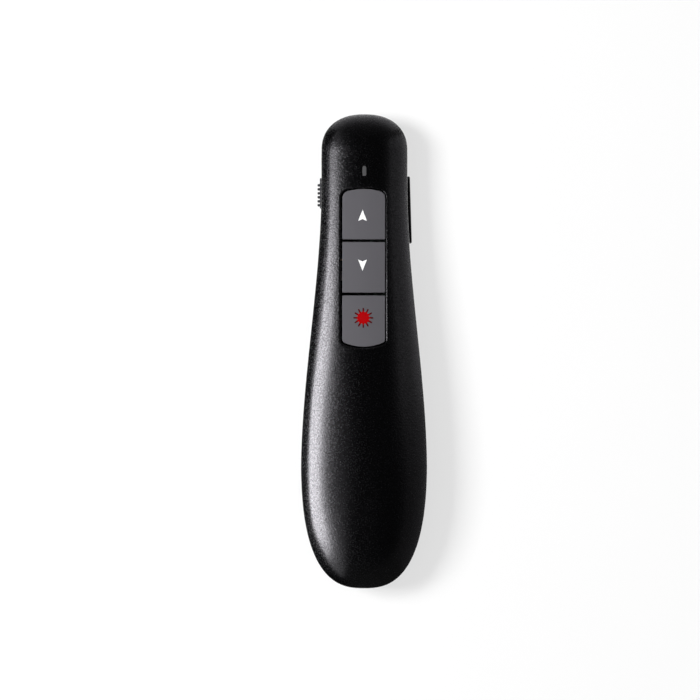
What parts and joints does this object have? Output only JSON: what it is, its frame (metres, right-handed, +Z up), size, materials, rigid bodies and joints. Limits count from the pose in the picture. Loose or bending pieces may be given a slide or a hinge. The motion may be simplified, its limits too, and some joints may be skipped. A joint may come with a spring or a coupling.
{
  "type": "wireless presentation clicker",
  "caption": "Handheld wireless presenter with a waisted body, a column of keys, a nose laser, a power slide, a stored USB receiver and a sliding battery door.",
  "frame": {"origin": "on the table under the middle of the body, which lies on its flat underside", "axes": "+Y to the nose, where the laser leaves; +Z up, out of the keys; +X to the side that holds the receiver, -X to the power switch"},
  "size_m": [0.0346, 0.13, 0.0224],
  "materials": {
    "shell_gloss_black": "black plastic with a fine sparkling grain, satin gloss",
    "tub_charcoal": "charcoal black plastic, fine matte grain",
    "key_grey": "satin mid grey plastic",
    "knob_black": "matte black plastic",
    "receiver_black": "satin black plastic",
    "window_red": "clear dark red lens",
    "light_pipe_grey": "smoked clear plastic",
    "lens_clear": "clear moulded lens",
    "board_black": "black solder mask on glass-fibre board",
    "chip_black": "moulded black epoxy",
    "component_tan": "tan ceramic",
    "led_white": "white body",
    "switch_black": "black moulded plastic",
    "steel_bright": "bright pressed steel",
    "nickel_plated": "nickel plated sheet",
    "brass_barrel": "turned brass",
    "gold_contact": "gold plated",
    "cell_jacket": "printed foil jacket, plain dark blue",
    "tongue_white": "white moulded insulator",
    "screw_black": "black oxide steel"
  },
  "bodies": {
    "housing": {"upper_shell": "shell_gloss_black", "lower_shell": "tub_charcoal", "housing_screws": "screw_black", "main_board": "board_black", "radio_chip": "chip_black", "crystal": "steel_bright", "small_components": "component_tan", "status_led": "led_white", "light_pipe": "light_pipe_grey", "laser_barrel": "brass_barrel", "laser_lens": "lens_clear", "laser_diode": "gold_contact", "laser_board": "board_black", "laser_window": "window_red", "power_switch_body": "steel_bright", "battery_left": "cell_jacket", "battery_right": "cell_jacket", "positive_contact": "nickel_plated", "negative_contact": "nickel_plated", "bridge_contact": "nickel_plated", "front_spring": "steel_bright", "rear_spring": "steel_bright", "page_up_switch": "switch_black", "page_up_switch_cover": "steel_bright", "page_down_switch": "switch_black", "page_down_switch_cover": "steel_bright", "laser_switch": "switch_black", "laser_switch_cover": "steel_bright"},
    "power_slider": {"power_knob": "knob_black", "power_switch_lever": "switch_black"},
    "battery_cover": {"battery_door": "tub_charcoal"},
    "receiver": {"receiver_housing": "receiver_black", "receiver_board": "board_black", "usb_plug_shell": "nickel_plated", "usb_tongue": "tongue_white", "usb_contacts": "gold_contact"},
    "page_up_button": {"page_up_key": "key_grey", "page_up_switch_plunger": "switch_black"},
    "page_down_button": {"page_down_key": "key_grey", "page_down_switch_plunger": "switch_black"},
    "laser_button": {"laser_key": "key_grey", "laser_switch_plunger": "switch_black"}
  },
  "joints": [
    {"name": "page_up_press", "type": "slide", "parent": "housing", "child": "page_up_button", "axis": [0, 0, -1], "range_m": [0, 0.0005], "stiffness_N_per_m": 2000},
    {"name": "page_down_press", "type": "slide", "parent": "housing", "child": "page_down_button", "axis": [0, 0, -1], "range_m": [0, 0.0005], "stiffness_N_per_m": 2000},
    {"name": "laser_press", "type": "slide", "parent": "housing", "child": "laser_button", "axis": [0, 0, -1], "range_m": [0, 0.0005], "stiffness_N_per_m": 2000},
    {"name": "power_slide", "type": "slide", "parent": "housing", "child": "power_slider", "axis": [0, 1, 0], "range_m": [0, 0.002]},
    {"name": "battery_door_slide", "type": "slide", "parent": "housing", "child": "battery_cover", "axis": [0, -1, 0], "range_m": [0, 0.06]},
    {"name": "receiver_pull", "type": "slide", "parent": "housing", "child": "receiver", "axis": [1, 0, 0], "range_m": [0, 0.02]}
  ]
}
